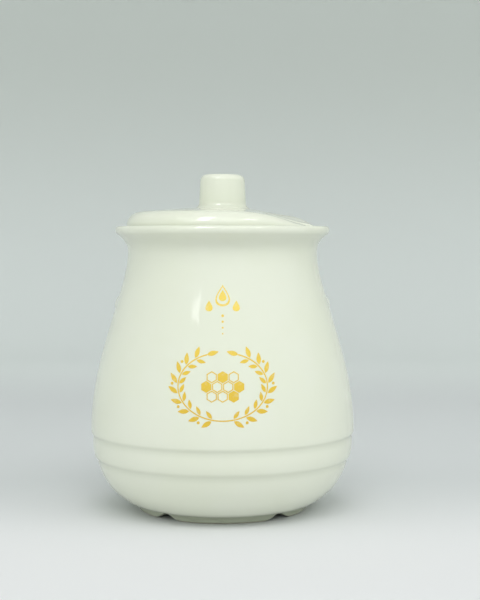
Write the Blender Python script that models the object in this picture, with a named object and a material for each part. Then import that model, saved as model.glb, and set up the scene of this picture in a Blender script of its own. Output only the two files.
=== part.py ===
"""A glazed honey pot with its lid.

The pot stands on a low foot ring that four notches divide into feet. Its belly has two soft
step lines and a low lug on each side, and its flared rim has a seat for the lid. The lid is a
low dome with a straight knob. On one side it sinks in a broad valley that ends in a notch for
the handle of a dipper. The pot's front looks along -Y, and the origin is under its middle.
"""

import bmesh
import bpy
from math import atan2, cos, exp, hypot, pi, radians, sin, sqrt
from mathutils import Matrix, Vector

MM = 0.001
TINY = 0.001 * MM

# The foot ring, and the arched notches that divide it
FOOT_RADIUS = 33.0 * MM
FOOT_WIDTH = 6.1 * MM
FOOT_EDGE = 0.8 * MM
RECESS_HEIGHT = 2.6 * MM
FOOT_NOTCH_HALF_WIDTH = 2.6 * MM
FOOT_NOTCH_HEIGHT = 2.4 * MM
FOOT_NOTCH_TRIM = 0.1 * MM
FOOT_NOTCH_ANGLES = (radians(50), radians(130))

# The belly's outer side as (radius, height) in millimetres, from the foot to under the rim
BELLY = [(33.0, 2.4), (36.2, 3.2), (39.7, 5.3), (44.1, 9.5), (47.4, 15.0), (49.8, 21.0), (51.0, 28.0),
         (51.2, 34.0), (50.7, 42.0), (48.7, 54.0), (45.0, 67.6), (41.5, 79.0), (38.8, 89.0),
         (37.0, 96.5), (37.2, 102.4), (39.1, 105.2), (40.9, 107.2)]
WALL = 4.0 * MM
FLOOR_HEIGHT = 6.6 * MM

# The two step lines round the belly: where they are, how deep, and how soon the belly is full again
STEP_HEIGHTS = (29.8 * MM, 20.5 * MM)
STEP_DEPTH = 0.55 * MM
STEP_DROP = 1.4 * MM
STEP_RECOVERY = 8.0 * MM

# The rim with its oval lip, and the seat for the lid
RIM_RADIUS = 41.6 * MM
RIM_TOP = 109.7 * MM
LIP_HALF_SIZES = (2.4 * MM, 1.4 * MM)
LIP_START = radians(-30)
SEAT_EDGE = 0.55 * MM
SEAT_RADIUS = 38.1 * MM
SEAT_DEPTH = 2.6 * MM
MOUTH_RADIUS = 34.4 * MM
NECK_INSIDE = 33.4 * MM
NECK_HEIGHT = 98.0 * MM

# The lugs at the pot's sides
LUG_HEIGHT = 80.0 * MM
LUG_ANGLE = radians(7)
LUG_HALF_SIZES = (2.8 * MM, 9.0 * MM, 4.6 * MM)
LUG_SUNK = 1.7 * MM

# Sizes of the lid
GAP = 0.3 * MM
LID_RADIUS = 37.3 * MM
LID_SEAT = RIM_TOP - SEAT_DEPTH + GAP
DOME_APEX = 117.0 * MM
DOME_CURVE = 310.0 * MM
SHOULDER = 5.6 * MM
KNOB_TOP = 130.0 * MM
KNOB_TOP_RADIUS = 8.5 * MM
KNOB_FOOT_RADIUS = 9.2 * MM
KNOB_EDGE = 2.4 * MM
KNOB_FILLET = 2.2 * MM
DOME_RINGS = (0.4, 0.53, 0.65, 0.75, 0.83)
FLANGE_RADIUS = 32.0 * MM
FLANGE_INSIDE = 29.4 * MM
FLANGE_DEPTH = 3.8 * MM
LID_THICKNESS = 4.2 * MM
UNDERSIDE_RINGS = (0.75, 0.4, 0)

# The valley in the lid and the notch at its end. The limit is the share of the lid's height
# that the valley may take, and the crowding brings the lid's rows of points closer at the notch.
VALLEY_AXIS = radians(-15)
VALLEY_START = 10.5 * MM
VALLEY_DROP = 7.5 * MM
VALLEY_HALF_WIDTH = 24.0 * MM
VALLEY_LIMIT = 0.68
NOTCH_REACH = 25.0 * MM
NOTCH_END_RADIUS = 7.0 * MM
NOTCH_HALF_WIDTH = 6.8 * MM
NOTCH_STILL = 17.0 * MM
NOTCH_CROWDING = 0.65

POT_SEGMENTS = 60
LID_SEGMENTS = 76


def clear_objects():
    for obj in list(bpy.data.objects):
        bpy.data.objects.remove(obj)


def smooth_step(value):
    value = min(max(value, 0.0), 1.0)
    return value * value * (3 - 2 * value)


def smooth_curve(stations, steps):
    """Points on a smooth curve through the stations, with the given number of steps between two."""
    points = [Vector(station) * MM for station in stations]
    padded = [2 * points[0] - points[1], *points, 2 * points[-1] - points[-2]]
    curve = []
    for before, start, end, after in zip(padded, padded[1:], padded[2:], padded[3:]):
        out_of_start = (end - before) / 2
        into_end = (after - start) / 2
        for step in range(steps):
            t = step / steps
            curve.append(start * (2 * t ** 3 - 3 * t ** 2 + 1) + out_of_start * (t ** 3 - 2 * t ** 2 + t)
                         + end * (3 * t ** 2 - 2 * t ** 3) + into_end * (t ** 3 - t ** 2))
    return [*curve, points[-1]]


def rounded(corners, steps=2):
    """The outline through (radius, height, corner radius) points, with an arc at each corner radius."""
    outline = []
    for index, (radius, height, corner) in enumerate(corners):
        here = Vector((radius, height))
        if corner == 0:
            outline.append(here)
            continue
        back = (Vector(corners[index - 1][:2]) - here).normalized()
        ahead = (Vector(corners[index + 1][:2]) - here).normalized()
        half_angle = back.angle(ahead) / 2
        centre = here + (back + ahead).normalized() * corner / sin(half_angle)
        run = corner * cos(half_angle) / sin(half_angle)
        first = (here + back * run - centre).normalized()
        last = (here + ahead * run - centre).normalized()
        for step in range(steps + 1):
            outline.append(centre + first.slerp(last, step / steps) * corner)
    return outline


def step_relief(height):
    """How far the belly lies inside its smooth curve at this height, because of the step lines."""
    relief = 0.0
    for line in STEP_HEIGHTS:
        below = line + STEP_DROP / 2 - height
        relief += STEP_DEPTH * smooth_step(below / STEP_DROP) * (1 - smooth_step(below / STEP_RECOVERY))
    return relief


def belly_outside():
    """The belly from the foot to the flare, with rows of points where a step line begins and ends."""
    curve = smooth_curve(BELLY, 1)
    rows = [point.y for point in curve]
    for line in STEP_HEIGHTS:
        clear_of_line = [row for row in rows if abs(row - line) > STEP_DROP]
        rows = clear_of_line + [line + STEP_DROP * share for share in (-0.5, -0.15, 0.15, 0.5)]
    outside = []
    for row in sorted(rows):
        index = max(i for i, point in enumerate(curve[:-1]) if point.y <= row)
        low, high = curve[index], curve[index + 1]
        radius = low.x + (high.x - low.x) * (row - low.y) / (high.y - low.y)
        outside.append(Vector((radius - step_relief(row), row)))
    return outside


def belly_inside():
    """The wall's inner side from the neck down to the rounded edge of the floor."""
    curve = smooth_curve(BELLY, 1)
    inside = []
    for before, point, after in zip(curve, curve[1:], curve[2:]):
        along = (after - before).normalized()
        inner = point + Vector((-along.y, along.x)) * WALL
        if FLOOR_HEIGHT < inner.y < NECK_HEIGHT - WALL:
            inside.append(inner)
    return inside[::-2]


def lip(steps):
    """The oval lip, from its lower side round the tip to the rim's flat top."""
    across, up = LIP_HALF_SIZES
    turns = [LIP_START + (pi / 2 - LIP_START) * step / steps for step in range(steps + 1)]
    return [Vector((RIM_RADIUS - across * (1 - cos(turn)), RIM_TOP - up * (1 - sin(turn)))) for turn in turns]


def turned(name, outline, segments):
    """A closed solid turned from an outline that starts and ends on the Z axis."""
    mesh = bmesh.new()
    points = [mesh.verts.new((point.x, 0.0, point.y)) for point in outline]
    lines = [mesh.edges.new(pair) for pair in zip(points, points[1:])]
    bmesh.ops.spin(mesh, geom=points + lines, axis=(0, 0, 1), cent=(0, 0, 0), angle=2 * pi,
                   steps=segments, use_merge=True)
    bmesh.ops.remove_doubles(mesh, verts=mesh.verts, dist=TINY)
    bmesh.ops.recalc_face_normals(mesh, faces=mesh.faces)
    data = bpy.data.meshes.new(name)
    mesh.to_mesh(data)
    mesh.free()
    obj = bpy.data.objects.new(name, data)
    bpy.context.scene.collection.objects.link(obj)
    return obj


def glaze(name, colour, roughness):
    material = bpy.data.materials.new(name)
    material.use_nodes = True
    shader = material.node_tree.nodes["Principled BSDF"]
    shader.inputs["Base Color"].default_value = colour
    shader.inputs["Roughness"].default_value = roughness
    shader.inputs["Metallic"].default_value = 0.0
    return material


def finish(obj, material):
    obj.data.materials.append(material)
    obj.data.shade_smooth()
    obj.data.set_sharp_from_angle(angle=radians(35))


def combine(obj, other, operation):
    """Adds or cuts the other object for good, and removes it."""
    change = obj.modifiers.new(operation.lower(), "BOOLEAN")
    change.operation = operation
    change.solver = "EXACT"
    change.object = other
    bpy.context.view_layer.update()
    evaluated = obj.evaluated_get(bpy.context.evaluated_depsgraph_get())
    data = bpy.data.meshes.new_from_object(evaluated)
    obj.modifiers.clear()
    obj.data = data
    bpy.data.objects.remove(other)


def make_notch_bar(name, angle):
    """A bar across the foot ring with an arched section, which cuts two opposite notches."""
    mesh = bmesh.new()
    length = 2.3 * FOOT_RADIUS
    half_width = 2.2 * FOOT_NOTCH_HALF_WIDTH
    section = [(half_width, -2 * MM), (-half_width, -2 * MM)]
    for step in range(-4, 5):
        across = half_width * step / 4
        bell = exp(-(across / FOOT_NOTCH_HALF_WIDTH) ** 2)
        section.append((across, (FOOT_NOTCH_HEIGHT + FOOT_NOTCH_TRIM) * bell - FOOT_NOTCH_TRIM))
    corners = [mesh.verts.new((-length / 2, across, height)) for across, height in section]
    made = bmesh.ops.extrude_face_region(mesh, geom=[mesh.faces.new(corners)])["geom"]
    moved = [item for item in made if isinstance(item, bmesh.types.BMVert)]
    bmesh.ops.translate(mesh, vec=(length, 0, 0), verts=moved)
    bmesh.ops.recalc_face_normals(mesh, faces=mesh.faces)
    data = bpy.data.meshes.new(name)
    mesh.to_mesh(data)
    mesh.free()
    obj = bpy.data.objects.new(name, data)
    obj.matrix_world = Matrix.Rotation(angle, 4, "Z")
    bpy.context.scene.collection.objects.link(obj)
    return obj


def make_lug(name, side):
    """A low oval lug, most of it sunk in the wall, a little behind the middle of one side."""
    mesh = bmesh.new()
    bmesh.ops.create_uvsphere(mesh, u_segments=20, v_segments=10, radius=1.0)
    bmesh.ops.scale(mesh, vec=LUG_HALF_SIZES, verts=mesh.verts)
    data = bpy.data.meshes.new(name)
    mesh.to_mesh(data)
    mesh.free()
    curve = smooth_curve(BELLY, 4)
    index = min(range(1, len(curve) - 1), key=lambda i: abs(curve[i].y - LUG_HEIGHT))
    lean = atan2(curve[index - 1].x - curve[index + 1].x, curve[index + 1].y - curve[index - 1].y)
    angle = LUG_ANGLE if side > 0 else pi - LUG_ANGLE
    out = curve[index].x - LUG_SUNK
    obj = bpy.data.objects.new(name, data)
    obj.matrix_world = (Matrix.Translation((out * cos(angle), out * sin(angle), LUG_HEIGHT))
                        @ Matrix.Rotation(angle, 4, "Z") @ Matrix.Rotation(-lean, 4, "Y"))
    bpy.context.scene.collection.objects.link(obj)
    return obj


def make_pot():
    outside = belly_outside()
    inside = belly_inside()
    foot_inside = FOOT_RADIUS - FOOT_WIDTH
    seat = RIM_TOP - SEAT_DEPTH
    foot = rounded([(0, RECESS_HEIGHT, 0), (foot_inside, RECESS_HEIGHT, 0), (foot_inside, 0, FOOT_EDGE),
                    (FOOT_RADIUS, 0, FOOT_EDGE), (*outside[0], 0)])
    edge = lip(5)
    mouth = rounded([(*edge[-1], 0), (SEAT_RADIUS, RIM_TOP, SEAT_EDGE), (SEAT_RADIUS, seat, 0),
                     (MOUTH_RADIUS, seat, SEAT_EDGE), (NECK_INSIDE, NECK_HEIGHT, 0)])
    bowl = [Vector((inside[-1].x - WALL, FLOOR_HEIGHT)), Vector((0, FLOOR_HEIGHT))]
    pot = turned("jar", foot[:-1] + outside + edge[:-1] + mouth + inside + bowl, POT_SEGMENTS)
    for angle in FOOT_NOTCH_ANGLES:
        combine(pot, make_notch_bar("notch_bar", angle), "DIFFERENCE")
    for side in (1, -1):
        combine(pot, make_lug("lug", side), "UNION")
    finish(pot, glaze("pot_glaze", (0.74, 0.80, 0.65, 1), 0.12))
    return pot


def dome_height(radius):
    return DOME_APEX - radius * radius / (2 * DOME_CURVE)


def lid_outline():
    """The lid's section, from the knob's top over the edge and the flange to under its middle."""
    knob_foot = dome_height(KNOB_FOOT_RADIUS)
    dome = [Vector((LID_RADIUS * share, dome_height(LID_RADIUS * share))) for share in DOME_RINGS]
    knob = rounded([(0, KNOB_TOP, 0), (KNOB_TOP_RADIUS, KNOB_TOP, KNOB_EDGE),
                    (KNOB_FOOT_RADIUS, knob_foot, KNOB_FILLET), (*dome[0], 0)])[:-1]
    edge = rounded([(*dome[-1], 0), (LID_RADIUS, dome_height(LID_RADIUS), SHOULDER),
                    (LID_RADIUS, LID_SEAT, 0)], 4)[1:]
    flange = rounded([(FLANGE_RADIUS, LID_SEAT, 0), (FLANGE_RADIUS, LID_SEAT - FLANGE_DEPTH, 0),
                      (FLANGE_INSIDE, LID_SEAT - FLANGE_DEPTH, 0),
                      (FLANGE_INSIDE, dome_height(FLANGE_INSIDE) - LID_THICKNESS, 0)])
    under = [Vector((FLANGE_INSIDE * share, dome_height(FLANGE_INSIDE * share) - LID_THICKNESS))
             for share in UNDERSIDE_RINGS]
    return knob + dome + edge + flange + under


def notched(along, across):
    """Where the notch pulls a point of the round lid, as a distance along the valley."""
    if along <= NOTCH_STILL:
        return along
    edge = sqrt(LID_RADIUS ** 2 - across ** 2)
    reach = NOTCH_REACH + across ** 2 / (2 * NOTCH_END_RADIUS)
    pull = (edge - reach) / (edge - NOTCH_STILL) * exp(-(across / NOTCH_HALF_WIDTH) ** 8)
    return NOTCH_STILL + (along - NOTCH_STILL) * (1 - pull)


def valley_drop(along, across, radius):
    """How far the valley lowers the lid's top over a place that was at the given radius of the dome."""
    if along <= VALLEY_START:
        return 0.0
    drop = VALLEY_DROP * (along - VALLEY_START) / (LID_RADIUS - VALLEY_START)
    drop *= exp(-(across / VALLEY_HALF_WIDTH) ** 2)
    limit = VALLEY_LIMIT * (dome_height(radius) - LID_SEAT)
    return drop / (1 + (drop / limit) ** 4) ** 0.25


def shape_lid(lid):
    """Pulls the turned lid in at the notch, and sinks the valley that leads to it."""
    for vertex in lid.data.vertices:
        x, y, height = vertex.co
        radius = hypot(x, y)
        turn = atan2(y, x)
        turn -= NOTCH_CROWDING * sin(turn)
        across = radius * sin(turn)
        along = notched(radius * cos(turn), across)
        rise = height - LID_SEAT
        if rise > 0:
            share = rise / (dome_height(radius) - LID_SEAT)
            if radius < FLANGE_INSIDE + TINY:
                share = 1
            height -= valley_drop(along, across, radius) * min(share, 1)
        vertex.co = Matrix.Rotation(VALLEY_AXIS, 3, "Z") @ Vector((along, across, height))


def make_lid():
    lid = turned("lid", lid_outline(), LID_SEGMENTS)
    shape_lid(lid)
    finish(lid, glaze("lid_glaze", (0.79, 0.83, 0.70, 1), 0.12))
    return lid


clear_objects()
make_pot()
make_lid()
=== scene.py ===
from math import atan2, ceil, cos, exp, hypot, pi, radians, sin, sqrt, tan

import bmesh
import bpy
from mathutils import Euler, Matrix, Vector


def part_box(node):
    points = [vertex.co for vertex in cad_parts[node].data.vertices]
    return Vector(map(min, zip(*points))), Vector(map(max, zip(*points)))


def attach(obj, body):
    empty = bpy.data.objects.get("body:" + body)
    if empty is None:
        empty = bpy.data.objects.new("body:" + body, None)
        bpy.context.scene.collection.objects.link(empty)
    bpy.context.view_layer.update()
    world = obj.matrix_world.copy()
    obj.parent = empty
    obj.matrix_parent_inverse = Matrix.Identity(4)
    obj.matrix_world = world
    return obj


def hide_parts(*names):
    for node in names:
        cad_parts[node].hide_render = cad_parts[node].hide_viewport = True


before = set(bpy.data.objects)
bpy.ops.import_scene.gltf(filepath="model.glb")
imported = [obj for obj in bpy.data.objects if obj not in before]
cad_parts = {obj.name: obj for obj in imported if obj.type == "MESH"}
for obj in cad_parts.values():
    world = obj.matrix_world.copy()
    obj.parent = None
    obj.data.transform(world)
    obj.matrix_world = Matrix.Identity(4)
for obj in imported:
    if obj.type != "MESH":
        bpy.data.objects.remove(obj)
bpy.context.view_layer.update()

# The table and the backdrop
# The pot stands on a seamless sheet of pale matt card. The sheet curves up into the backdrop,
# here on every side, so that the pot has the same plain ground behind it from all round.
# Its colour holds painted light and shade: lighter in front of the pot, darker on the table
# around it, lighter far behind it, and darker high up the backdrop.
MM = 0.001
CARD_FLAT = 620 * MM
CARD_BEND = 420 * MM
CARD_TOP = 1300 * MM
CARD_STEPS = 24
CARD_SIDES = 128
# Painted light and shade on the card, from front to back and up the backdrop.
CARD_PAINTED_LIT_FRONT = (0.79, 0.80, 0.81, 1)
CARD_PAINTED_SHADE_TABLE = (0.71, 0.74, 0.745, 1)
CARD_PAINTED_LIT_FAR = (0.835, 0.88, 0.87, 1)
CARD_PAINTED_SHADE_HIGH = (0.655, 0.695, 0.665, 1)
CARD_LIGHT_FALLOFF_NEAR = (-90 * MM, 60 * MM)
CARD_LIGHT_FALLOFF_FAR = (280 * MM, 560 * MM)
CARD_SHADE_RISE = 340 * MM
CARD_GRAIN_SCALE = 900.0
CARD_GRAIN_DEPTH = 0.02 * MM


class Value:
    """A shader value in Python arithmetic. Each operator adds one Math node to the finish."""

    def __init__(self, finish, socket):
        self.finish = finish
        self.socket = socket

    def math(self, operation, first, second=0.0):
        return self.finish.node("ShaderNodeMath", {"operation": operation}, {0: first, 1: second})

    def __add__(self, other):
        return self.math("ADD", self, other)

    def __radd__(self, other):
        return self.math("ADD", other, self)

    def __sub__(self, other):
        return self.math("SUBTRACT", self, other)

    def __rsub__(self, other):
        return self.math("SUBTRACT", other, self)

    def __mul__(self, other):
        return self.math("MULTIPLY", self, other)

    def __rmul__(self, other):
        return self.math("MULTIPLY", other, self)


class Finish:
    """The node tree of one material."""

    def __init__(self, name):
        self.material = bpy.data.materials.new(name)
        self.material.use_nodes = True
        self.tree = self.material.node_tree
        self.shader = self.tree.nodes["Principled BSDF"]

    def node(self, kind, settings, sockets, output=0):
        """Adds a node with its settings, then the values or links of its sockets."""
        made = self.tree.nodes.new(kind)
        for name, setting in settings.items():
            setattr(made, name, setting)
        for key, value in sockets.items():
            self.feed(made.inputs[key], value)
        return Value(self, made.outputs[output])

    def feed(self, socket, value):
        if isinstance(value, Value):
            self.tree.links.new(value.socket, socket)
        else:
            socket.default_value = value

    def surface(self, **values):
        """Sets the shader's sockets, named as in the editor with _ for a space."""
        for name, value in values.items():
            self.feed(self.shader.inputs[name.replace("_", " ")], value)
        return self.material

    def place(self):
        """Where a point is on the piece, in metres."""
        return self.node("ShaderNodeTexCoord", {}, {}, output=3)

    def along(self, axis):
        """One coordinate of that place: 0 for X, 1 for Y and 2 for Z."""
        return self.node("ShaderNodeSeparateXYZ", {}, {0: self.place()}, output=axis)

    def noise(self, scale, detail=2.0, roughness=0.5):
        return self.node("ShaderNodeTexNoise", {}, {"Vector": self.place(), "Scale": scale,
                                                    "Detail": detail, "Roughness": roughness})

    def ramp(self, value, start, end, low=0.0, high=1.0):
        """Goes softly from low to high as the value goes from start to end."""
        return self.node("ShaderNodeMapRange", {"interpolation_type": "SMOOTHSTEP"},
                         {"Value": value, "From Min": start, "From Max": end,
                          "To Min": low, "To Max": high})

    def mix(self, share, first, second):
        return self.node("ShaderNodeMix", {"data_type": "RGBA"},
                         {0: share, 6: first, 7: second}, output=2)

    def bump(self, height, distance):
        return self.node("ShaderNodeBump", {}, {"Strength": 1.0, "Distance": distance, "Height": height})


def spun(name, outline, segments):
    """A mesh turned round the Z axis from an outline of (radius, height) points."""
    mesh = bmesh.new()
    points = [mesh.verts.new((point.x, 0.0, point.y)) for point in outline]
    lines = [mesh.edges.new(pair) for pair in zip(points, points[1:])]
    bmesh.ops.spin(mesh, geom=points + lines, axis=(0, 0, 1), cent=(0, 0, 0), angle=2 * pi,
                   steps=segments, use_merge=True)
    bmesh.ops.remove_doubles(mesh, verts=mesh.verts, dist=0.001 * MM)
    bmesh.ops.recalc_face_normals(mesh, faces=mesh.faces)
    return finished(name, mesh)


def finished(name, mesh):
    """Turns a bmesh into an object with smooth faces at the origin."""
    data = bpy.data.meshes.new(name)
    mesh.to_mesh(data)
    mesh.free()
    data.shade_smooth()
    piece = bpy.data.objects.new(name, data)
    bpy.context.scene.collection.objects.link(piece)
    return piece


def card_outline():
    bend = [Vector((CARD_FLAT + CARD_BEND * sin(turn), CARD_BEND * (1 - cos(turn))))
            for turn in (pi / 2 * step / CARD_STEPS for step in range(CARD_STEPS + 1))]
    return [Vector((0, 0)), *bend, Vector((CARD_FLAT + CARD_BEND, CARD_TOP))]


def card_finish():
    finish = Finish("card")
    back = finish.along(1)
    up = finish.along(2)
    grain = finish.noise(CARD_GRAIN_SCALE, 3.0)
    # Painted light and shade: lighter in front, darker round the pot, lighter far behind, darker up high.
    painted_light_near = finish.mix(finish.ramp(back, *CARD_LIGHT_FALLOFF_NEAR), CARD_PAINTED_LIT_FRONT, CARD_PAINTED_SHADE_TABLE)
    painted_light_table = finish.mix(finish.ramp(back, *CARD_LIGHT_FALLOFF_FAR), painted_light_near, CARD_PAINTED_LIT_FAR)
    colour = finish.mix(finish.ramp(up, 0, CARD_SHADE_RISE), painted_light_table, CARD_PAINTED_SHADE_HIGH)
    return finish.surface(Base_Color=colour, Roughness=0.85 + 0.1 * grain, Specular_IOR_Level=0.2,
                          Normal=finish.bump(grain, CARD_GRAIN_DEPTH))


card = spun("card", card_outline(), CARD_SIDES)
card.data.flip_normals()
card.data.materials.append(card_finish())

# The lights and the camera
# Soft lamps stand in front and at both sides, one hangs over the pot, and a weak one lights the
# card behind it. The glaze also shows two lamps, two long strips and a narrow window, all in front.
LENS = 76.8
CAMERA_PLACE = (0.0, -499.3 * MM, 106.0 * MM)
CAMERA_DOWN = radians(2.872)
CAMERA_RIGHT = radians(0.778)
ROOM_STRENGTH = 0.412
POT_MIDDLE = (0.0, 0.0, 0.06)
LID_FRONT = (0.0, -0.03, 0.115)
WALL_FRONT = (-0.0107, -0.04, 0.077)
CARD_BEHIND = (0.0, 0.58, 0.0)


def area_light(name, place, target, sizes, power, lights=True, glints=False):
    """A flat light that lights the scene, or shows in glossy surfaces as a glint, or both."""
    data = bpy.data.lights.new(name, "AREA")
    data.shape = "RECTANGLE"
    data.size, data.size_y = sizes
    data.energy = power
    light = bpy.data.objects.new(name, data)
    light.location = place
    light.rotation_euler = (Vector(place) - Vector(target)).to_track_quat("Z", "Y").to_euler()
    light.visible_camera = False
    light.visible_diffuse = lights
    light.visible_glossy = glints
    bpy.context.scene.collection.objects.link(light)


area_light("front_high", (0.0, -0.52, 0.90), POT_MIDDLE, (0.6, 0.4), 2.4)
area_light("front", (0.0, -0.80, 0.66), POT_MIDDLE, (0.6, 0.4), 0.5)
area_light("front_low", (0.10, -0.95, 0.37), POT_MIDDLE, (0.4, 0.3), 0.42)
area_light("left", (-0.72, -0.40, 0.66), POT_MIDDLE, (0.8, 0.6), 1.4)
area_light("right", (0.72, -0.40, 0.66), POT_MIDDLE, (0.8, 0.6), 2.55)
area_light("left_low", (-0.90, -0.25, 0.22), POT_MIDDLE, (0.4, 0.4), 0.62)
area_light("over", (0.0, 0.05, 0.95), POT_MIDDLE, (0.4, 0.4), 0.6)
area_light("behind", (0.0, 0.55, 0.55), CARD_BEHIND, (1.0, 0.2), 0.2)
area_light("lamp_left", (-0.253, -0.520, 0.81), LID_FRONT, (0.2, 0.45), 2.2,
           lights=False, glints=True)
area_light("lamp_right", (0.416, -0.402, 0.81), LID_FRONT, (0.25, 0.12), 0.6,
           lights=False, glints=True)
area_light("strip_high", (-0.142, -0.496, 0.797), LID_FRONT, (1.2, 0.3), 1.6,
           lights=False, glints=True)
area_light("strip_low", (-0.20, -0.70, 0.644), LID_FRONT, (1.0, 0.12), 1.1,
           lights=False, glints=True)
area_light("window", (-0.447, -0.689, 0.530), WALL_FRONT, (0.23, 0.012), 0.034, glints=True)

world = bpy.data.worlds.new("room")
world.use_nodes = True
world.node_tree.nodes["Background"].inputs["Color"].default_value = (1, 1, 1, 1)
world.node_tree.nodes["Background"].inputs["Strength"].default_value = ROOM_STRENGTH
bpy.context.scene.world = world
bpy.context.scene.view_settings.view_transform = "Standard"

camera = bpy.data.objects.new("camera", bpy.data.cameras.new("camera"))
camera.data.lens = LENS
camera.location = CAMERA_PLACE
camera.rotation_euler = Euler((pi / 2 - CAMERA_DOWN, 0, -CAMERA_RIGHT))
bpy.context.scene.collection.objects.link(camera)
bpy.context.scene.camera = camera

# The pot
# A slip-cast pot of pale stoneware, one piece with its foot ring, its two step lines and its
# lugs. It is dipped in a glossy white glaze with a breath of green, and the foot is wiped bare.
# Its glaze colour is darker under the step lines and under the rim, partly gathered glaze and
# partly painted shade, and darker on the foot ring, where it is painted shade.
RIM_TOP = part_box("jar")[1].z
RIM_RADIUS = 41.6 * MM
LIP_UPPER_SIZES = (1.2 * MM, 1.45 * MM)
LIP_LOWER_SIZES = (2.2 * MM, 2.2 * MM)
LIP_START = radians(-45)
LIP_STEPS = 18
SEAT_RADIUS = 38.1 * MM
SEAT_HEIGHT = RIM_TOP - 2.6 * MM
MOUTH_RADIUS = 34.4 * MM
NECK_INSIDE = 33.4 * MM
NECK_HEIGHT = 98.0 * MM
SOFT_EDGE = 0.6 * MM
BELLY = [(33.0, 2.4), (36.2, 3.2), (39.7, 5.3), (44.1, 9.5), (47.4, 15.0), (49.8, 21.0), (51.0, 28.0),
         (51.2, 34.0), (50.6, 42.0), (49.71, 48.0), (48.52, 54.0), (47.05, 60.0), (45.66, 65.0),
         (44.17, 70.0), (42.63, 75.0), (41.07, 80.0), (39.57, 85.0), (38.19, 90.0), (37.17, 95.0),
         (36.81, 98.5), (36.81, 100.6), (37.15, 102.4), (38.4, 104.4), (39.9, 105.9)]
WALL = 4.0 * MM
FLOOR_HEIGHT = 6.6 * MM
FLOOR_CORNER = (3.4 * MM, 1.0 * MM)
FLOOR_EDGE = 9 * MM
FOOT_RADIUS = 33.0 * MM
FOOT_INSIDE = 26.9 * MM
FOOT_EDGE = 0.9 * MM
FOOT_RECESS = 2.6 * MM
NOTCH_TOP = 2.4 * MM
NOTCH_HALF = 3.3 * MM
NOTCH_ANGLES = [radians(degrees) for degrees in (50, 130, 230, 310)]
STEP_LINES = (29.8 * MM, 20.5 * MM)
STEP_DEPTH = 0.55 * MM
STEP_DROP = 1.4 * MM
STEP_RECOVERY = 8.0 * MM
LUG_HEIGHT = 80.0 * MM
LUG_ANGLES = (radians(7), radians(173))
LUG_LEAN = 0.30
LUG_SIZES = (2.8 * MM, 9.0 * MM, 4.6 * MM)
LUG_SUNK = 1.7 * MM
LUG_SOFT = 0.35 * MM
WALL_SPACING = 1.05 * MM
STEP_SPACING = 0.42 * MM
INSIDE_SPACING = 2.4 * MM
POT_SEGMENTS = 300
POT_CROWDING = 0.5
# Where the glaze colour darkens: gathered glaze with painted shade under the lines and the rim, painted
# shade on the foot ring.
LINE_POOL_AND_SHADE = 0.22
LINE_POOL_AND_SHADE_HALF = 1.4 * MM
RIM_POOL_AND_SHADE = 0.15
RIM_POOL_AND_SHADE_HEIGHT = 104 * MM
RIM_POOL_AND_SHADE_HALF = 3 * MM
FOOT_PAINTED_SHADE = 0.9
FOOT_PAINTED_SHADE_FADE = 0.8 * MM
BARE_HEIGHT = 0.15 * MM
BARE_FADE = 0.25 * MM


def through(stations, steps=24):
    """A smooth curve through the stations, with that many steps from each to the next."""
    padded = [2 * stations[0] - stations[1], *stations, 2 * stations[-1] - stations[-2]]
    curve = []
    for before, start, end, after in zip(padded, padded[1:], padded[2:], padded[3:]):
        for step in range(steps):
            t = step / steps
            curve.append(start * (2 * t ** 3 - 3 * t ** 2 + 1) + end * (3 * t ** 2 - 2 * t ** 3)
                         + (end - before) / 2 * (t ** 3 - 2 * t ** 2 + t)
                         + (after - start) / 2 * (t ** 3 - t ** 2))
    return [*curve, stations[-1]]


def spaced(curve, spacing):
    """Points along a curve, as far apart as spacing(height) says there."""
    chosen = [curve[0]]
    for point in curve[1:-1]:
        if (point - chosen[-1]).length >= spacing(point.y):
            chosen.append(point)
    return [*chosen, curve[-1]]


def cornered(corners, steps=6):
    """The outline through (radius, height, corner radius) points, each corner drawn as an arc."""
    outline = []
    for index, (radius, height, corner) in enumerate(corners):
        here = Vector((radius, height))
        if corner == 0:
            outline.append(here)
            continue
        back = (Vector(corners[index - 1][:2]) - here).normalized()
        ahead = (Vector(corners[index + 1][:2]) - here).normalized()
        half_angle = back.angle(ahead) / 2
        centre = here + (back + ahead).normalized() * corner / sin(half_angle)
        first = (here + back * corner / tan(half_angle) - centre).normalized()
        last = (here + ahead * corner / tan(half_angle) - centre).normalized()
        outline += [centre + first.slerp(last, step / steps) * corner for step in range(steps + 1)]
    return outline


def smooth_step(value):
    value = min(max(value, 0.0), 1.0)
    return value * value * (3 - 2 * value)


def step_relief(height):
    """How far the wall lies inside its smooth curve here, because of the step lines."""
    below = [line + STEP_DROP / 2 - height for line in STEP_LINES]
    return sum(STEP_DEPTH * smooth_step(gap / STEP_DROP) * (1 - smooth_step(gap / STEP_RECOVERY))
               for gap in below)


def wall_spacing(height):
    near_step = min(STEP_LINES) - STEP_RECOVERY < height < max(STEP_LINES) + STEP_DROP
    return STEP_SPACING if near_step else WALL_SPACING


BELLY_CURVE = through([Vector(station) * MM for station in BELLY])


def wall_outside():
    return [Vector((point.x - step_relief(point.y), point.y))
            for point in spaced(BELLY_CURVE, wall_spacing)]


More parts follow.
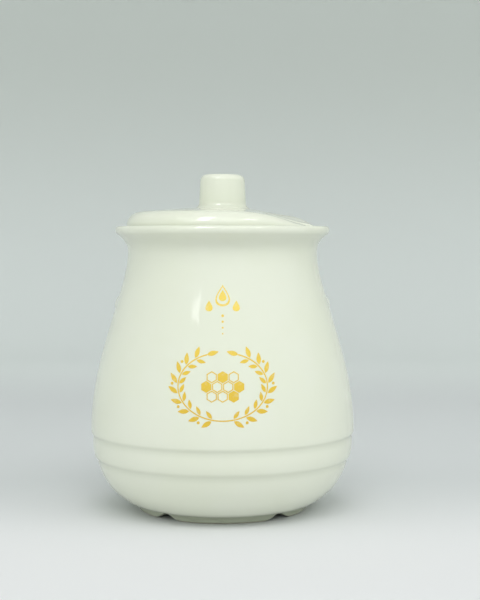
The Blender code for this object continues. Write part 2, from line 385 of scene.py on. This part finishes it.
def wall_inside():
    """The inner side of the wall, from the neck down to the middle of the floor."""
    inner = []
    for before, point, after in zip(BELLY_CURVE, BELLY_CURVE[1:], BELLY_CURVE[2:]):
        along = (after - before).normalized()
        place = point + Vector((-along.y, along.x)) * WALL
        if FLOOR_HEIGHT + WALL < place.y < NECK_HEIGHT - WALL:
            inner.append(place)
    inner = spaced(inner[::-1], lambda height: 2 * INSIDE_SPACING)
    turn = inner[-1].x
    inner += [Vector((turn - FLOOR_CORNER[0], FLOOR_HEIGHT + FLOOR_CORNER[1])),
              Vector((turn - FLOOR_EDGE, FLOOR_HEIGHT)), Vector((0, FLOOR_HEIGHT))]
    return spaced(through(inner), lambda height: INSIDE_SPACING)


def lip():
    """The blunt lip, from its lower side round the tip to the rim's flat top."""
    tip = RIM_TOP - LIP_UPPER_SIZES[1]
    points = []
    for step in range(LIP_STEPS + 1):
        turn = LIP_START + (pi / 2 - LIP_START) * step / LIP_STEPS
        across, up = LIP_UPPER_SIZES if turn > 0 else LIP_LOWER_SIZES
        points.append(Vector((RIM_RADIUS - across * (1 - cos(turn)), tip + up * sin(turn))))
    return points


def pot_outline():
    outside = wall_outside()
    edge = lip()
    foot = cornered([(0, FOOT_RECESS, 0), (FOOT_INSIDE, FOOT_RECESS, SOFT_EDGE),
                     (FOOT_INSIDE, 0, FOOT_EDGE), (FOOT_RADIUS, 0, FOOT_EDGE), (*outside[0], 0)])
    mouth = cornered([(*edge[-1], 0), (SEAT_RADIUS, RIM_TOP, SOFT_EDGE),
                      (SEAT_RADIUS, SEAT_HEIGHT, SOFT_EDGE / 2), (MOUTH_RADIUS, SEAT_HEIGHT, SOFT_EDGE),
                      (NECK_INSIDE, NECK_HEIGHT, 0)])
    return foot[:-1] + outside + edge[:-1] + mouth + wall_inside()


def lug_rise(angle, radius, height):
    """How far a lug stands out from the wall here."""
    rise = 0.0
    for lug_angle in LUG_ANGLES:
        off = (angle - lug_angle + pi) % (2 * pi) - pi
        across = radius * off / LUG_SIZES[1]
        up = (height - LUG_HEIGHT) / cos(LUG_LEAN) / LUG_SIZES[2]
        proud = LUG_SIZES[0] * sqrt(max(1 - across ** 2 - up ** 2, 0.0)) - LUG_SUNK
        rise += (proud + hypot(proud, LUG_SOFT)) / 2 - (hypot(LUG_SUNK, LUG_SOFT) - LUG_SUNK) / 2
    return rise


def foot_lift(angle, radius, height):
    """How far a point of the foot ring is raised into the nearest notch."""
    across = min(abs(radius * ((angle - notch + pi) % (2 * pi) - pi)) for notch in NOTCH_ANGLES)
    return max(NOTCH_TOP - height, 0.0) * exp(-(across / NOTCH_HALF) ** 2)


def shape_pot(pot):
    """Raises the notches in the foot ring, and pushes the lugs out of the wall."""
    for vertex in pot.data.vertices:
        x, y, height = vertex.co
        radius = hypot(x, y)
        angle = atan2(y, x)
        angle = (angle - POT_CROWDING / 4 * sin(4 * angle - pi)) % (2 * pi)
        if height < NOTCH_TOP and radius > FOOT_INSIDE - SOFT_EDGE:
            height += foot_lift(angle, radius, height)
        outer = abs(height - LUG_HEIGHT) < LUG_SIZES[2] * 1.5 and radius > NECK_INSIDE + WALL
        if outer:
            rise = lug_rise(angle, radius, height)
            radius += rise * cos(LUG_LEAN)
            height += rise * sin(LUG_LEAN)
        vertex.co = (radius * cos(angle), radius * sin(angle), height)


def mark(piece, name, rule):
    """Stores rule(place) at each point of the piece, for its finish to read."""
    values = [rule(vertex.co) for vertex in piece.data.vertices]
    piece.data.attributes.new(name, "FLOAT", "POINT").data.foreach_set("value", values)


def hollow(height, middle, half):
    return exp(-((height - middle) / half) ** 2)


def pot_pool_and_shade(place):
    """How much darker colour goes here: gathered glaze and painted shade under each step line
    and under the rim, and painted shade on the foot ring.
    """
    lines = sum(hollow(place.z, line - STEP_DROP / 2, LINE_POOL_AND_SHADE_HALF) for line in STEP_LINES)
    rim = hollow(place.z, RIM_POOL_AND_SHADE_HEIGHT, RIM_POOL_AND_SHADE_HALF)
    foot = 1 - smooth_step((place.z - NOTCH_TOP) / FOOT_PAINTED_SHADE_FADE)
    return LINE_POOL_AND_SHADE * lines + RIM_POOL_AND_SHADE * rim + FOOT_PAINTED_SHADE * foot


def pot_bare(place):
    """1 on the foot ring's standing face, which is wiped clean of glaze before the firing."""
    return 1 - smooth_step((place.z - BARE_HEIGHT) / BARE_FADE)


GLAZE_FULL = (0.805, 0.832, 0.70, 1)
# Gathered glaze colour, made darker to paint the shade on the foot ring and in the creases.
GLAZE_POOLED_AND_SHADED = (0.50, 0.535, 0.41, 1)
GLAZE_THIN = (0.83, 0.85, 0.755, 1)
BARE_CLAY = (0.62, 0.55, 0.44, 1)
CLOUD_SCALE = 38.0
RIPPLE_SCALE = 60.0
RIPPLE_DEPTH = 0.012 * MM
GRAIN_SCALE = 2600.0
PIT_SCALE = 1500.0
PIT_LEVELS = (0.79, 0.84)
PIT_DEPTH = 0.02 * MM
CLAY_ROUGHNESS = 0.75


def glaze(name):
    """A glossy fired glaze: faint clouds of colour, a soft ripple, and fine pits here and there.
    Its colour darkens where glaze gathers and where shade is painted in.
    """
    finish = Finish(name)
    pool_and_shade = finish.node("ShaderNodeAttribute", {"attribute_name": "pool_and_shade"}, {}, output=2)
    bare = finish.node("ShaderNodeAttribute", {"attribute_name": "bare"}, {}, output=2)
    clouds = finish.noise(CLOUD_SCALE, 3.0, 0.55)
    ripple = finish.noise(RIPPLE_SCALE, 1.0)
    grain = finish.noise(GRAIN_SCALE, 2.0)
    pits = finish.ramp(finish.noise(PIT_SCALE, 0.0), *PIT_LEVELS)
    colour = finish.mix(finish.ramp(clouds, 0.35, 0.65, 0.0, 0.35), GLAZE_FULL, GLAZE_THIN)
    # Painted shade mixed with gathered glaze: darker under the step lines, the rim and the knob, and on
    # the foot.
    colour = finish.mix(pool_and_shade, colour, GLAZE_POOLED_AND_SHADED)
    colour = finish.mix(bare, colour, BARE_CLAY)
    gloss = 0.03 + 0.02 * clouds + 0.12 * pits
    relief = finish.bump(ripple, RIPPLE_DEPTH)
    fine = finish.node("ShaderNodeBump", {}, {"Strength": 0.4, "Distance": PIT_DEPTH, "Normal": relief,
                                              "Height": grain * bare - pits})
    return finish.surface(Base_Color=colour, Roughness=gloss + bare * (CLAY_ROUGHNESS - gloss),
                          Normal=fine, IOR=1.5)


pot = spun("glazed_pot", pot_outline(), POT_SEGMENTS)
shape_pot(pot)
mark(pot, "pool_and_shade", pot_pool_and_shade)
mark(pot, "bare", pot_bare)
pot.data.materials.append(glaze("pot_glaze"))
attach(pot, "root")
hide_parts("jar")

# The lid
# A cast lid in the same stoneware and glaze, one piece with its straight knob. Its edge rests in
# the rim's seat, a flange under it keeps it centred, and a valley on the right ends in a notch.
KNOB_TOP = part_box("lid")[1].z
LID_RADIUS = 37.3 * MM
LID_SEAT = SEAT_HEIGHT + 0.3 * MM
DOME_APEX = 117.0 * MM
DOME_CURVE = 310.0 * MM
SHOULDER = 5.6 * MM
KNOB_TOP_RADIUS = 8.5 * MM
KNOB_FOOT_RADIUS = 9.2 * MM
KNOB_EDGE = 2.4 * MM
KNOB_CROWN = 0.25 * MM
KNOB_FILLET = 2.2 * MM
FLANGE_RADIUS = 32.0 * MM
FLANGE_INSIDE = 29.4 * MM
FLANGE_BOTTOM = LID_SEAT - 3.8 * MM
LID_THICKNESS = 4.2 * MM
DOME_SPACING = 1.2 * MM
UNDERSIDE_SPACING = 2.2 * MM
VALLEY_AXIS = radians(-15)
VALLEY_START = 10.5 * MM
VALLEY_SOFT = 3.0 * MM
VALLEY_DROP = 7.5 * MM
VALLEY_HALF_WIDTH = 24.0 * MM
VALLEY_LIMIT = 0.68
NOTCH_REACH = 25.0 * MM
NOTCH_END_RADIUS = 7.0 * MM
NOTCH_HALF_WIDTH = 6.8 * MM
NOTCH_STILL = 17.0 * MM
LID_SEGMENTS = 300
LID_CROWDING = 0.65
# Painted shade with gathered glaze, in a ring round the knob's foot.
KNOB_POOL_AND_SHADE = 0.22
KNOB_POOL_AND_SHADE_OUT = 0.8 * MM
KNOB_POOL_AND_SHADE_HALF = 1.2 * MM


def dome(radius):
    return DOME_APEX - radius * radius / (2 * DOME_CURVE)


def dome_row(start, end, spacing, drop=0.0):
    """Points of the dome, or of a surface that far under it, between two radii."""
    count = ceil(abs(end - start) / spacing)
    radii = [start + (end - start) * step / count for step in range(count + 1)]
    return [Vector((radius, dome(radius) - drop)) for radius in radii]


def lid_outline():
    """From the middle of the knob's top, over the edge and the flange, to under the middle."""
    top = dome_row(KNOB_FOOT_RADIUS + 2 * KNOB_FILLET, LID_RADIUS - 1.2 * SHOULDER, DOME_SPACING)
    under = dome_row(FLANGE_INSIDE - 2 * SOFT_EDGE, 0, UNDERSIDE_SPACING, LID_THICKNESS)
    knob = cornered([(0, KNOB_TOP, 0), (KNOB_TOP_RADIUS, KNOB_TOP - KNOB_CROWN, KNOB_EDGE),
                     (KNOB_FOOT_RADIUS, dome(KNOB_FOOT_RADIUS), KNOB_FILLET), (*top[0], 0)], 10)
    edge = cornered([(*top[-1], 0), (LID_RADIUS, dome(LID_RADIUS), SHOULDER),
                     (LID_RADIUS, LID_SEAT, SOFT_EDGE), (FLANGE_RADIUS, LID_SEAT, SOFT_EDGE),
                     (FLANGE_RADIUS, FLANGE_BOTTOM, SOFT_EDGE), (FLANGE_INSIDE, FLANGE_BOTTOM, SOFT_EDGE),
                     (FLANGE_INSIDE, dome(FLANGE_INSIDE) - LID_THICKNESS, SOFT_EDGE),
                     (*under[0], 0)], 8)
    return knob[:-1] + top + edge[1:-1] + under


def notched(along, across):
    """Where the notch pulls a point of the round lid, as a distance along the valley."""
    if along <= NOTCH_STILL:
        return along
    edge = sqrt(LID_RADIUS ** 2 - across ** 2)
    reach = NOTCH_REACH + across ** 2 / (2 * NOTCH_END_RADIUS)
    pull = (edge - reach) / (edge - NOTCH_STILL) * exp(-(across / NOTCH_HALF_WIDTH) ** 8)
    return NOTCH_STILL + (along - NOTCH_STILL) * (1 - pull)


def valley_drop(along, across, radius):
    """How far the valley lowers the lid's top over a place that was at this radius of the dome."""
    run = along - VALLEY_START
    drop = VALLEY_DROP * (run + hypot(run, VALLEY_SOFT)) / 2 / (LID_RADIUS - VALLEY_START)
    drop *= exp(-(across / VALLEY_HALF_WIDTH) ** 2)
    limit = VALLEY_LIMIT * (dome(radius) - LID_SEAT)
    return drop / (1 + (drop / limit) ** 4) ** 0.25


def shape_lid(lid):
    """Pulls the turned lid in at the notch, and sinks the valley that leads to it."""
    turned_to_valley = Matrix.Rotation(VALLEY_AXIS, 3, "Z")
    for vertex in lid.data.vertices:
        x, y, height = vertex.co
        radius = hypot(x, y)
        turn = atan2(y, x)
        turn -= LID_CROWDING * sin(turn)
        across = radius * sin(turn)
        along = notched(radius * cos(turn), across)
        rise = height - LID_SEAT
        if rise > 0:
            share = min(rise / (dome(radius) - LID_SEAT), 1)
            if radius < FLANGE_INSIDE + 0.001 * MM:
                share = 1
            height -= valley_drop(along, across, radius) * share
        vertex.co = turned_to_valley @ Vector((along, across, height))


def lid_pool_and_shade(place):
    """How much darker colour goes here: gathered glaze and painted shade round the knob's foot."""
    on_top = place.z > DOME_APEX - 2 * MM
    ring = hollow(hypot(place.x, place.y), KNOB_FOOT_RADIUS + KNOB_POOL_AND_SHADE_OUT, KNOB_POOL_AND_SHADE_HALF)
    return KNOB_POOL_AND_SHADE * ring * on_top


def lid_bare(place):
    """1 on the ring that the lid rests on, which is wiped clean of glaze before the firing."""
    ring = hypot(place.x, place.y) > FLANGE_RADIUS + SOFT_EDGE
    return float(ring and abs(place.z - LID_SEAT) < 0.1 * MM)


lid = spun("glazed_lid", lid_outline(), LID_SEGMENTS)
shape_lid(lid)
mark(lid, "pool_and_shade", lid_pool_and_shade)
mark(lid, "bare", lid_bare)
lid.data.materials.append(glaze("lid_glaze"))
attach(lid, "root")
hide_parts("lid")

# The print
# A one-colour transfer fired into the glaze on the pot's front: two leafy branches with berries
# round a small honeycomb, and a drop above them. The ink is golden, and thinner towards the top.
INK_PROUD = 0.05 * MM
INK_SUNK = 0.08 * MM
BRANCH_MIDDLE = Vector((0.0, 52.6 * MM))
BRANCH_HALF_SIZES = (16.2 * MM, 11.9 * MM)
BRANCH_START = radians(-101)
BRANCH_FIRST_LEAVES = radians(-76)
BRANCH_END = radians(70)
BRANCH_LINE = 0.45 * MM
BRANCH_STEPS = 40
LEAF_PAIRS = 9
LEAF_SIZES = (4.3 * MM, 0.85 * MM)
LEAF_INNER = 0.8
LEAF_OPENING = radians(42)
LEAF_OFFSET = 0.45 * MM
BERRY_RADIUS = 0.55 * MM
BERRY_OUT = 2.3 * MM
BERRY_BACK = 0.4 * MM
CELL_RADIUS = 2.25 * MM
CELL_LINE = 0.42 * MM
CELL_GAP = 0.3 * MM
CELL_ROWS = (3, 4, 3)
CELLS_FILLED = {(0, 1), (1, 0), (1, 3), (2, 2)}
DROP_HALF_SIZES = (2.9 * MM, 3.9 * MM)
SIDE_DROP = 0.5
DROPS = [(Vector((0.0, 84.6 * MM)), 1.0), (Vector((-4.9 * MM, 80.9 * MM)), SIDE_DROP),
         (Vector((4.9 * MM, 80.9 * MM)), SIDE_DROP)]
DROP_INSIDE = 0.80
DROP_CORE = 0.52
TRAIL_DOTS = 4
TRAIL_TOP = 77.4 * MM
TRAIL_SPACING = 2.1 * MM
TRAIL_RADII = (0.5 * MM, 0.28 * MM)
INK_HIGH = (0.92, 0.69, 0.12, 1)
INK_LOW = (0.79, 0.53, 0.05, 1)
INK_HEIGHTS = (42 * MM, 84 * MM)
INK_GRAIN_SCALE = 700.0
INK_GRAIN_DEPTH = 0.01 * MM


def outline_of(ink, sides, rule, place, turn=0.0, filled=True):
    """A flat shape whose outline is rule(angle) for the angles round a circle."""
    made = bmesh.ops.create_circle(ink, cap_ends=filled, cap_tris=filled, segments=sides,
                                   radius=1.0)["verts"]
    middle = (rule(0.0) + rule(pi)) / 2
    for vertex in made:
        on_outline = vertex.co.length > 0.5
        point = rule(atan2(vertex.co.y, vertex.co.x)) if on_outline else middle
        vertex.co = (point.x, point.y, 0)
    bmesh.ops.transform(ink, verts=made,
                        matrix=Matrix.Translation((place.x, place.y, 0)) @ Matrix.Rotation(turn, 4, "Z"))
    return made


def line_round(ink, sides, outer, inner, place, turn=0.0):
    """The flat line between two outlines."""
    loops = [outline_of(ink, sides, rule, place, turn, filled=False) for rule in (outer, inner)]
    edges = {edge for loop in loops for vertex in loop for edge in vertex.link_edges}
    bmesh.ops.bridge_loops(ink, edges=list(edges))


def stroke(ink, route, line):
    """A flat line of even width along a route."""
    first = (route[1] - route[0]).normalized() * line / 2
    ends = [ink.verts.new((route[0].x - side * first.y, route[0].y + side * first.x, 0))
            for side in (1, -1)]
    edge = ink.edges.new(ends)
    for before, after in zip(route, route[1:]):
        made = bmesh.ops.extrude_edge_only(ink, edges=[edge])["geom"]
        edge = next(item for item in made if isinstance(item, bmesh.types.BMEdge))
        across = (after - before).normalized() * line / 2
        for side, vertex in zip((1, -1), edge.verts):
            vertex.co = (after.x - side * across.y, after.y + side * across.x, 0)


def circle(radius):
    return lambda angle: Vector((radius * cos(angle), radius * sin(angle)))


def leaf(size):
    """A leaf along +X from its stalk, pointed at both ends and fuller near the stalk."""
    def rule(angle):
        width = size * LEAF_SIZES[1] * sin(angle) * abs(sin(angle)) * (1 - 0.25 * cos(angle))
        return Vector((size * LEAF_SIZES[0] * (1 + cos(angle)) / 2, width))
    return rule


def drop(size):
    """A hanging drop with its tip up, at this share of its full size."""
    def rule(angle):
        wide = 1.3 * cos(angle) * ((1 - sin(angle)) / 2) ** 0.75
        return Vector((size * DROP_HALF_SIZES[0] * wide, size * DROP_HALF_SIZES[1] * sin(angle)))
    return rule


def on_branch(angle, side):
    """A place on the branch of this side, and the direction in which the branch grows there."""
    across, up = BRANCH_HALF_SIZES
    place = BRANCH_MIDDLE + Vector((side * across * cos(angle), up * sin(angle)))
    heading = atan2(up * cos(angle), -side * across * sin(angle))
    return place, heading


def add_branch(ink, side):
    route = [on_branch(BRANCH_START + (BRANCH_END - BRANCH_START) * step / BRANCH_STEPS, side)[0]
             for step in range(BRANCH_STEPS + 1)]
    stroke(ink, route, BRANCH_LINE)
    place, heading = on_branch(BRANCH_END, side)
    outline_of(ink, 18, leaf(1.0), place, heading)
    for pair in range(LEAF_PAIRS):
        share = pair / LEAF_PAIRS
        angle = BRANCH_FIRST_LEAVES + (BRANCH_END - BRANCH_FIRST_LEAVES) * share
        place, heading = on_branch(angle, side)
        inward = Vector((-sin(heading), cos(heading))) * side
        for way, size in ((1, LEAF_INNER), (-1, 1.0)):
            opening = heading + side * way * LEAF_OPENING
            outline_of(ink, 18, leaf(size), place + inward * way * LEAF_OFFSET, opening)
        if pair % 2 == 1:
            behind = Vector((cos(heading), sin(heading))) * -BERRY_BACK
            outline_of(ink, 12, circle(BERRY_RADIUS), place - inward * BERRY_OUT + behind)


def add_honeycomb(ink):
    pitch = CELL_RADIUS * sqrt(3)
    outer = CELL_RADIUS - CELL_GAP / 2
    for row, count in enumerate(CELL_ROWS):
        for column in range(count):
            off = Vector(((column - (count - 1) / 2) * pitch, (1 - row) * CELL_RADIUS * 1.5))
            place = BRANCH_MIDDLE + off
            if (row, column) in CELLS_FILLED:
                outline_of(ink, 6, circle(outer), place)
            else:
                line_round(ink, 6, circle(outer), circle(outer - CELL_LINE), place)


def add_drops(ink):
    for place, size in DROPS:
        if size < 1:
            outline_of(ink, 24, drop(size), place)
            continue
        line_round(ink, 32, drop(1.0), drop(DROP_INSIDE), place)
        outline_of(ink, 32, drop(DROP_CORE), place)
    for index in range(TRAIL_DOTS):
        radius = TRAIL_RADII[0] + (TRAIL_RADII[1] - TRAIL_RADII[0]) * index / (TRAIL_DOTS - 1)
        outline_of(ink, 12, circle(radius), Vector((0, TRAIL_TOP - index * TRAIL_SPACING)))


def on_front(across, height, depth):
    """A place on the pot's front, from the distance round the wall, the height, and how far out."""
    after = next(i for i, point in enumerate(BELLY_CURVE) if point.y > height)
    low, high = BELLY_CURVE[after - 1], BELLY_CURVE[after]
    radius = low.x + (high.x - low.x) * (height - low.y) / (high.y - low.y)
    slope = (high - low).normalized()
    angle = across / radius - pi / 2
    out = radius + slope.y * depth
    return Vector((out * cos(angle), out * sin(angle), height - slope.x * depth))


def ink_finish():
    finish = Finish("ink")
    high = finish.ramp(finish.along(2), *INK_HEIGHTS)
    uneven = finish.noise(INK_GRAIN_SCALE, 3.0, 0.6)
    colour = finish.mix(high, INK_LOW, INK_HIGH)
    colour = finish.mix(finish.ramp(uneven, 0.5, 0.75, 0.0, 0.22), colour, GLAZE_FULL)
    return finish.surface(Base_Color=colour, Roughness=0.14 + 0.1 * uneven, IOR=1.5,
                          Normal=finish.bump(uneven, INK_GRAIN_DEPTH))


ink = bmesh.new()
for side in (1, -1):
    add_branch(ink, side)
add_honeycomb(ink)
add_drops(ink)
bmesh.ops.recalc_face_normals(ink, faces=ink.faces)
raised = bmesh.ops.extrude_face_region(ink, geom=ink.faces[:])["geom"]
raised = [item for item in raised if isinstance(item, bmesh.types.BMVert)]
bmesh.ops.translate(ink, vec=(0, 0, INK_PROUD + INK_SUNK), verts=raised)
for vertex in ink.verts:
    vertex.co = on_front(vertex.co.x, vertex.co.y, vertex.co.z - INK_SUNK)
bmesh.ops.recalc_face_normals(ink, faces=ink.faces)
print_piece = finished("front_print", ink)
print_piece.data.set_sharp_from_angle(angle=radians(40))
print_piece.data.materials.append(ink_finish())
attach(print_piece, "root")
